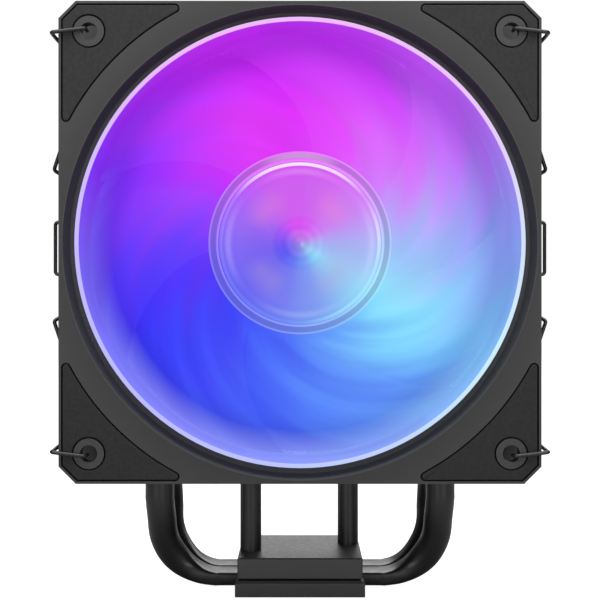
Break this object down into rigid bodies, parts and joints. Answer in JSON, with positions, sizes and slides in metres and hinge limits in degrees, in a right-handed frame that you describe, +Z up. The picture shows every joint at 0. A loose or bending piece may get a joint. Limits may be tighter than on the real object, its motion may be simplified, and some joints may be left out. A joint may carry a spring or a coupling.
{
  "type": "cpu tower cooler",
  "caption": "Black tower cooler: flattened heat pipes rise from a square base through a fin stack, with a lit square fan held on its front by two sprung wire clips.",
  "frame": {"origin": "centre of the base plate's underside, where it presses on the processor", "axes": "+Z up the tower, the fan faces -Y, +X to the right seen from the fan's side"},
  "size_m": [0.1366, 0.0743, 0.1566],
  "materials": {
    "plated_base": "black plating, machined bright under the base",
    "black_block": "satin black coating",
    "black_pipe": "satin black coating over copper",
    "black_fins": "black coated sheet",
    "anodised_cover": "brushed black anodised",
    "frame_plastic": "fine-grained black moulding",
    "pad_rubber": "matte black rubber",
    "light_guide": "frosted, lit from behind",
    "circuit_board": "green solder mask",
    "led_package": "white package, lit",
    "lamination_steel": "stacked sheet",
    "enamelled_wire": "enamelled copper",
    "bearing_brass": "turned",
    "washer_plastic": "natural nylon",
    "label_film": "blank silver film",
    "lit_plastic": "translucent, lit by coloured LEDs",
    "hub_lens_plastic": "clear, lit from behind",
    "yoke_steel": "drawn",
    "magnet_ferrite": "sintered",
    "shaft_steel": "ground",
    "clip_wire": "black spring wire"
  },
  "bodies": {
    "heatsink": {"base_plate": "plated_base", "base_cover_block": "black_block", "heat_pipe_front": "black_pipe", "heat_pipe_rear": "black_pipe", "third_leg_left": "black_pipe", "third_leg_right": "black_pipe", "cooling_fins_lower": "black_fins", "cooling_fins_middle": "black_fins", "cooling_fins_upper": "black_fins", "top_cover": "anodised_cover", "fan_frame": "frame_plastic", "cable_grommet": "pad_rubber", "light_guide_ring": "light_guide", "led_ring_board": "circuit_board", "led_ring_leds": "led_package", "motor_board": "circuit_board", "hub_leds": "led_package", "stator_core": "lamination_steel", "stator_coils": "enamelled_wire", "bearing_tube": "bearing_brass", "bearing_sleeve": "bearing_brass", "thrust_washer": "washer_plastic", "rear_label": "label_film", "front_pad_upper_left": "pad_rubber", "front_pad_upper_right": "pad_rubber", "front_pad_lower_left": "pad_rubber", "front_pad_lower_right": "pad_rubber", "rear_pad_upper_left": "pad_rubber", "rear_pad_upper_right": "pad_rubber", "rear_pad_lower_left": "pad_rubber", "rear_pad_lower_right": "pad_rubber"},
    "rotor": {"impeller": "lit_plastic", "hub_lens": "hub_lens_plastic", "rotor_yoke": "yoke_steel", "rotor_magnet": "magnet_ferrite", "shaft": "shaft_steel", "retaining_clip": "washer_plastic"},
    "left_clip": {"fan_clip_left": "clip_wire"},
    "right_clip": {"fan_clip_right": "clip_wire"}
  },
  "joints": [
    {"name": "rotor_spin", "type": "hinge", "parent": "heatsink", "child": "rotor", "pos_m": [0, -0.0367, 0.096], "axis": [0, 1, 0], "continuous": true},
    {"name": "left_clip_swing", "type": "hinge", "parent": "heatsink", "child": "left_clip", "pos_m": [-0.0532, -0.0485, 0.096], "axis": [0, 0, 1], "range_deg": [0, 25]},
    {"name": "right_clip_swing", "type": "hinge", "parent": "heatsink", "child": "right_clip", "pos_m": [0.0532, -0.0485, 0.096], "axis": [0, 0, -1], "range_deg": [0, 25]}
  ]
}
